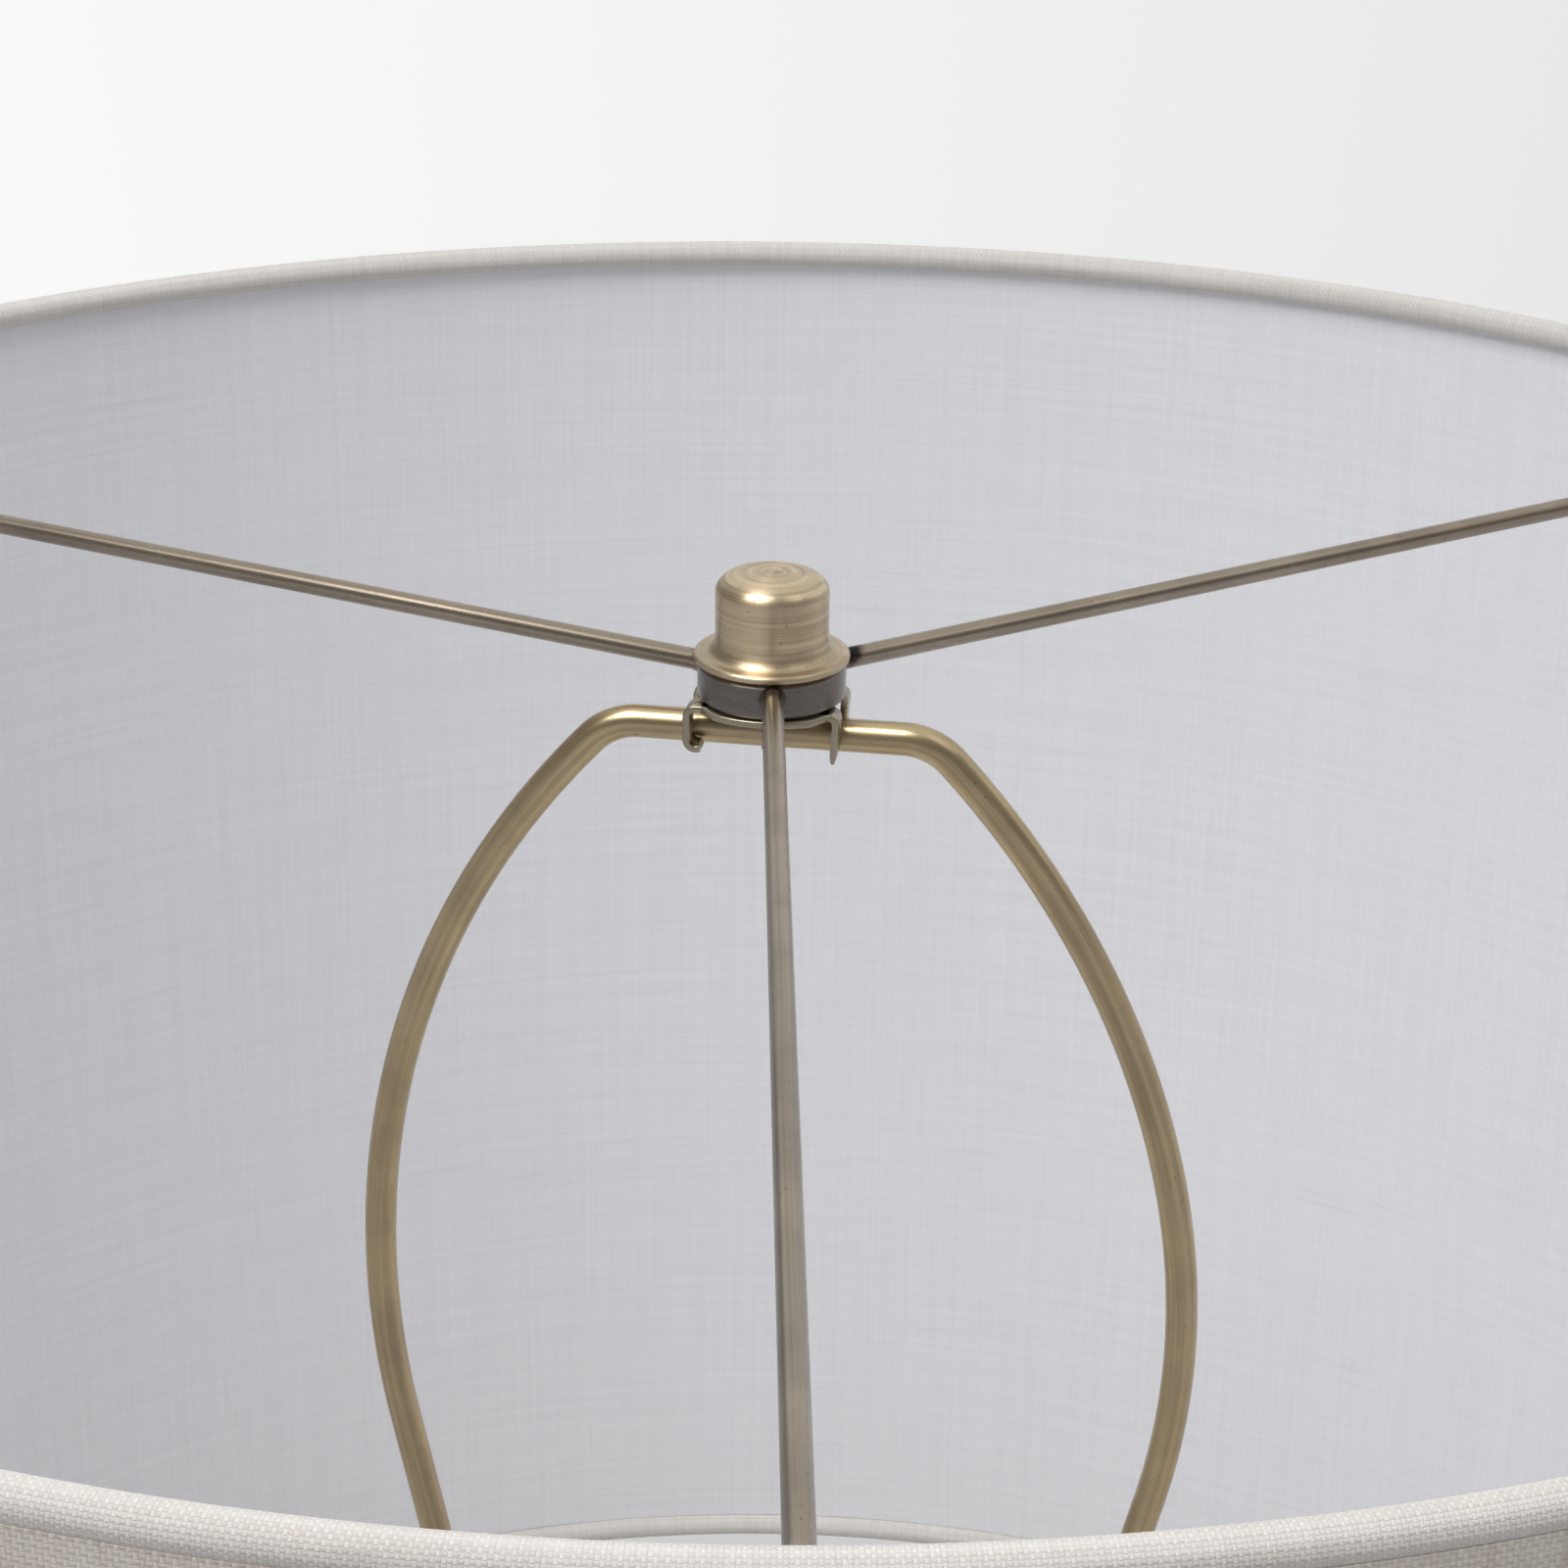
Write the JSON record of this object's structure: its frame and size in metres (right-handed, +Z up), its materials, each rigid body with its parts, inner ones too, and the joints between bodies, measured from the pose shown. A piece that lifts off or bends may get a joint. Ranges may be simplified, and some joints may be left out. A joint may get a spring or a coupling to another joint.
{
  "type": "rope table lamp",
  "caption": "Table lamp with a drum shade on a spider, a wire harp and a finial, over a rope-wound body on a round foot.",
  "frame": {"origin": "centre of the felt's underside, on the lamp's upright axis", "axes": "+Z up; the harp stands in the XZ plane, the switch knob points to -Y and the cord leaves at +Y"},
  "size_m": [0.4103, 0.4104, 0.6432],
  "materials": {
    "felt": "short dark green felt",
    "antique_brass": "satin, brushed and darkened",
    "dark_bronze": "smooth satin, dark",
    "cast_iron": "rough, as cast",
    "rubber": "matt black",
    "plated_steel": "zinc plated",
    "core_wood": "plain turned, unfinished",
    "natural_rope": "laid natural fibre, dry",
    "outer_linen": "slubbed beige linen on a stiff sheet",
    "white_lining": "fine woven, cool white",
    "hem_linen": "rolled linen, warm off-white",
    "fibre_board": "plain fibre",
    "moulded_black": "moulded, matt",
    "moulded_tan": "moulded, matt",
    "nickel_shell": "bright, rolled",
    "contact_brass": "bright",
    "knob_black": "moulded, semi-gloss"
  },
  "bodies": {
    "base": {"felt_pad": "felt", "foot": "antique_brass", "foot_weight": "cast_iron", "cord_bushing": "rubber", "bottom_washer": "plated_steel", "bottom_nut": "plated_steel", "lamp_pipe": "plated_steel", "body_core": "core_wood", "rope_winding": "natural_rope", "body_cap": "antique_brass", "check_ring": "dark_bronze", "neck": "antique_brass", "neck_washer": "plated_steel", "neck_nut": "plated_steel", "harp_saddle": "antique_brass", "harp": "antique_brass", "harp_clip": "dark_bronze", "socket_cap": "antique_brass", "socket_cap_screw": "plated_steel", "socket_shell": "antique_brass", "socket_liner": "fibre_board", "socket_body": "moulded_black", "screw_shell": "nickel_shell", "centre_contact": "contact_brass", "terminal_screws": "contact_brass"},
    "shade": {"spider_hub": "dark_bronze", "spider_arm_front": "dark_bronze", "spider_arm_left": "dark_bronze", "spider_arm_right": "dark_bronze", "top_ring": "dark_bronze", "bottom_ring": "dark_bronze", "shade_panel": "outer_linen", "shade_lining": "white_lining", "top_hem": "hem_linen", "bottom_hem": "hem_linen"},
    "stud": {"harp_stud": "dark_bronze"},
    "finial_insert": {"finial_insert": "plated_steel"},
    "finial_cap": {"finial_cap": "antique_brass"},
    "left_ferrule": {"left_ferrule": "antique_brass"},
    "right_ferrule": {"right_ferrule": "antique_brass"},
    "switch": {"switch_stem": "plated_steel", "switch_rotor": "moulded_tan", "switch_knob": "knob_black"}
  },
  "joints": [
    {"name": "shade_turn", "type": "hinge", "parent": "base", "child": "shade", "pos_m": [0, 0, 0.6292], "axis": [0, 0, 1], "continuous": true},
    {"name": "stud_swivel", "type": "hinge", "parent": "base", "child": "stud", "pos_m": [0, 0, 0.6211], "axis": [0, 0, 1], "continuous": true},
    {"name": "finial_rise", "type": "slide", "parent": "stud", "child": "finial_insert", "axis": [0, 0, 1], "range_m": [0, 0.0066]},
    {"name": "finial_turn", "type": "hinge", "parent": "finial_insert", "child": "finial_cap", "pos_m": [0, 0, 0.636], "axis": [0, 0, 1], "range_deg": [0, 2520]},
    {"name": "left_ferrule_lift", "type": "slide", "parent": "base", "child": "left_ferrule", "axis": [0, 0, 1], "range_m": [0, 0.0095]},
    {"name": "right_ferrule_lift", "type": "slide", "parent": "base", "child": "right_ferrule", "axis": [0, 0, 1], "range_m": [0, 0.0095]},
    {"name": "switch_turn", "type": "hinge", "parent": "base", "child": "switch", "pos_m": [0, -0.03, 0.41107], "axis": [0, -1, 0], "continuous": true}
  ],
  "couplings": [
    {"joint": "finial_rise", "follows": "finial_turn", "m_per_rad": 0.00014972}
  ]
}
